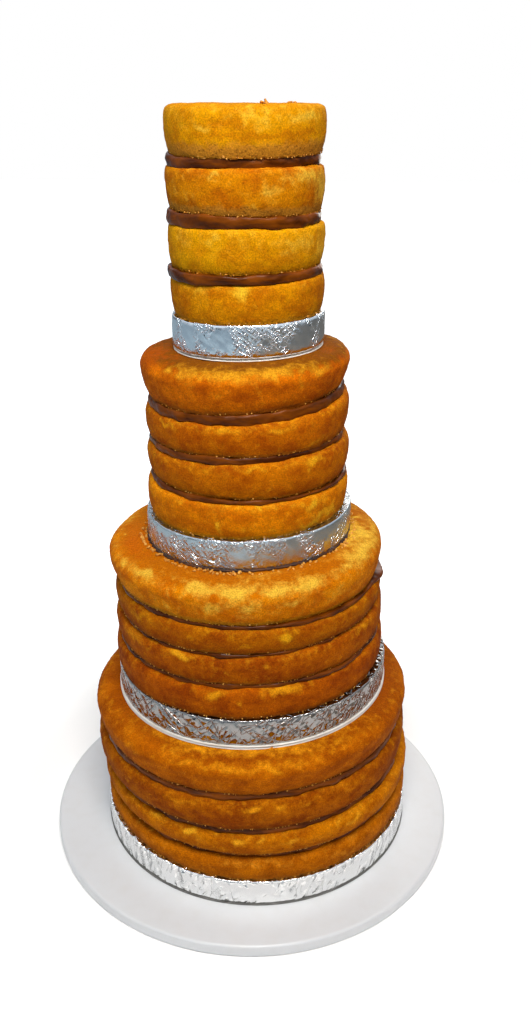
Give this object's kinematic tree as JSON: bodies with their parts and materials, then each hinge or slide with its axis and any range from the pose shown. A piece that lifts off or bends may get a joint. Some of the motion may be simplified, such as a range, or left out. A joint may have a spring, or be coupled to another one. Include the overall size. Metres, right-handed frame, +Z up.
{
  "type": "dominican cake",
  "caption": "Tall round tiered sponge cake, stacked and filled but not frosted, on foil-wrapped drums and a round white board.",
  "frame": {"origin": "on the table, under the middle of the round board", "axes": "+Z up along the stack; +X to the right and +Y to the back of the view that the cake is seen from"},
  "size_m": [0.4064, 0.4064, 0.6916],
  "materials": {
    "gold_sponge": "soft golden baked sponge with fine crumb",
    "amber_sponge": "soft amber-brown baked sponge with fine crumb",
    "dulce_de_leche": "thick glossy brown milk caramel",
    "crinkled_foil": "crinkled bright kitchen foil",
    "white_card": "white corrugated cake card",
    "dark_card": "dark stained cake card",
    "grey_card": "thin grey cake card",
    "white_board": "smooth satin white covered drum"
  },
  "bodies": {
    "root": {"cake_board": "white_board", "tier1_card": "grey_card", "tier1_drum": "crinkled_foil", "tier1_sponge1": "amber_sponge", "tier1_filling1": "dulce_de_leche", "tier1_sponge2": "amber_sponge", "tier1_filling2": "dulce_de_leche", "tier1_sponge3": "amber_sponge", "tier1_filling3": "dulce_de_leche", "tier1_sponge4": "amber_sponge", "tier2_card": "white_card", "tier2_drum": "crinkled_foil", "tier2_sponge1": "amber_sponge", "tier2_filling1": "dulce_de_leche", "tier2_sponge2": "amber_sponge", "tier2_filling2": "dulce_de_leche", "tier2_sponge3": "amber_sponge", "tier2_filling3": "dulce_de_leche", "tier2_sponge4": "amber_sponge", "tier3_card": "dark_card", "tier3_drum": "crinkled_foil", "tier3_sponge1": "amber_sponge", "tier3_filling1": "dulce_de_leche", "tier3_sponge2": "amber_sponge", "tier3_filling2": "dulce_de_leche", "tier3_sponge3": "amber_sponge", "tier3_filling3": "dulce_de_leche", "tier3_sponge4": "amber_sponge", "tier4_card": "white_card", "tier4_drum": "crinkled_foil", "tier4_sponge1": "gold_sponge", "tier4_filling1": "dulce_de_leche", "tier4_sponge2": "gold_sponge", "tier4_filling2": "dulce_de_leche", "tier4_sponge3": "gold_sponge", "tier4_filling3": "dulce_de_leche", "tier4_sponge4": "gold_sponge"}
  },
  "joints": []
}
